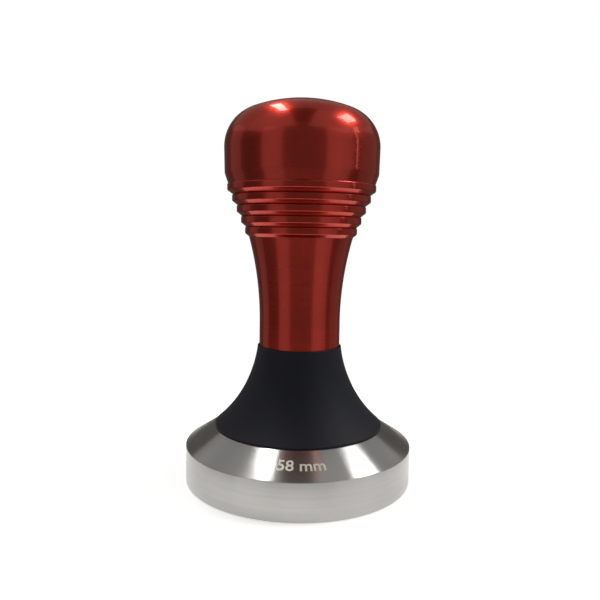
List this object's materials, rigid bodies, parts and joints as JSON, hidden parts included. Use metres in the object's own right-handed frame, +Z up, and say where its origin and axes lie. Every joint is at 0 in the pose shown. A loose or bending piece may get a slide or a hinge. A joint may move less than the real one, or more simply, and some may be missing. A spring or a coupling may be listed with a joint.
{
  "type": "espresso tamper",
  "caption": "Spring-calibrated espresso tamper: round flat steel base with a cone top, flared black skirt, and a ringed red knob handle that presses down to a stop.",
  "frame": {"origin": "centre of the tamping face", "axes": "+Z up the tamper's own axis, from the tamping face to the crown of the handle"},
  "size_m": [0.058, 0.058, 0.0961],
  "materials": {
    "stainless_base": "turned, satin side and bright cone",
    "red_anodised": "turned and gloss anodised",
    "black_skirt": "moulded, fine matte",
    "black_rubber": "moulded",
    "turned_steel": "turned and ground",
    "zinc_steel": "zinc plated",
    "black_steel": "black oxide",
    "spring_steel": "drawn wire, ends ground",
    "turned_brass": "turned",
    "bronze_liner": "sintered",
    "ptfe": "skived",
    "natural_nylon": "moulded"
  },
  "bodies": {
    "base": {"tamping_base": "stainless_base", "base_seal_ring": "black_rubber", "skirt": "black_skirt", "skirt_wiper_ring": "black_rubber", "end_bumper": "black_rubber", "guide_rod": "turned_steel", "rod_lock_nut": "zinc_steel", "rebound_washer": "natural_nylon", "piston_guide_ring": "ptfe", "spring_lower_seat": "zinc_steel", "main_spring": "spring_steel"},
    "spring_cap": {"spring_upper_seat": "zinc_steel"},
    "handle": {"thrust_washer": "ptfe", "preload_shim": "turned_steel", "retaining_bush": "turned_brass", "bush_liner": "bronze_liner", "bush_lock_screw": "black_steel", "handle": "red_anodised"}
  },
  "joints": [
    {"name": "handle_press", "type": "slide", "parent": "base", "child": "spring_cap", "axis": [0, 0, -1], "range_m": [0, 0.005], "stiffness_N_per_m": 12000, "springref_m": -0.0061, "deforming": ["main_spring"]},
    {"name": "handle_swivel", "type": "hinge", "parent": "spring_cap", "child": "handle", "pos_m": [0, 0, 0.069], "axis": [0, 0, 1], "continuous": true}
  ]
}
